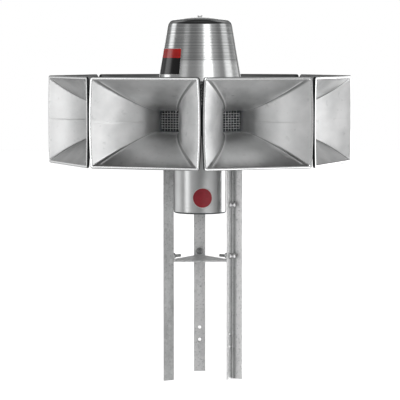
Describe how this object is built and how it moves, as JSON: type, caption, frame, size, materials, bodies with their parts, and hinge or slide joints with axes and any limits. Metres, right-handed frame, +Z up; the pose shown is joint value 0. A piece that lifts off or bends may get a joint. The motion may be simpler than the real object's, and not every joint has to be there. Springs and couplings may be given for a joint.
{
  "type": "civil defense siren",
  "caption": "Omnidirectional mechanical siren with a ring of flared exponential horns, a spun hood over its air intake, a vertical motor and angle legs for a pole top.",
  "frame": {"origin": "centre of the underside of the spreader plate, where it sits on the pole top", "axes": "+Z up along the siren's axis, -Y towards the seam between two horns that faces the viewer, +X to the viewer's right"},
  "size_m": [1.3348, 1.3348, 1.5965],
  "materials": {
    "spun_aluminium": "spun sheet with fine level lines, semi-bright",
    "zinc_hardware": "zinc plated, dull",
    "grey_steel": "mill finish, half matt",
    "dark_wire": "dark weathered wire, matt",
    "cast_housing": "rough casting, dull and dark",
    "horn_aluminium": "satin sheet with soft blotches",
    "motor_steel": "brushed and bright",
    "galvanised_steel": "hot dip galvanised, mottled grey"
  },
  "bodies": {
    "root": {"hood": "spun_aluminium", "hood_wing_nut": "zinc_hardware", "hood_stud": "zinc_hardware", "hood_spider": "grey_steel", "hood_post_front": "zinc_hardware", "hood_post_right": "zinc_hardware", "hood_post_back": "zinc_hardware", "hood_post_left": "zinc_hardware", "intake_guard": "dark_wire", "top_plate": "grey_steel", "chopper_housing": "cast_housing", "base_plate": "grey_steel", "duct_1": "cast_housing", "duct_2": "cast_housing", "duct_3": "cast_housing", "duct_4": "cast_housing", "duct_5": "cast_housing", "duct_6": "cast_housing", "duct_7": "cast_housing", "duct_8": "cast_housing", "throat_screen_1": "dark_wire", "throat_screen_2": "dark_wire", "throat_screen_3": "dark_wire", "throat_screen_4": "dark_wire", "throat_screen_5": "dark_wire", "throat_screen_6": "dark_wire", "throat_screen_7": "dark_wire", "throat_screen_8": "dark_wire", "horn_1": "horn_aluminium", "horn_2": "horn_aluminium", "horn_3": "horn_aluminium", "horn_4": "horn_aluminium", "horn_5": "horn_aluminium", "horn_6": "horn_aluminium", "horn_7": "horn_aluminium", "horn_8": "horn_aluminium", "motor_shell": "motor_steel", "motor_end_cover": "motor_steel", "leg_back": "galvanised_steel", "leg_left": "galvanised_steel", "leg_right": "galvanised_steel", "spreader_plate": "galvanised_steel"}
  },
  "joints": []
}
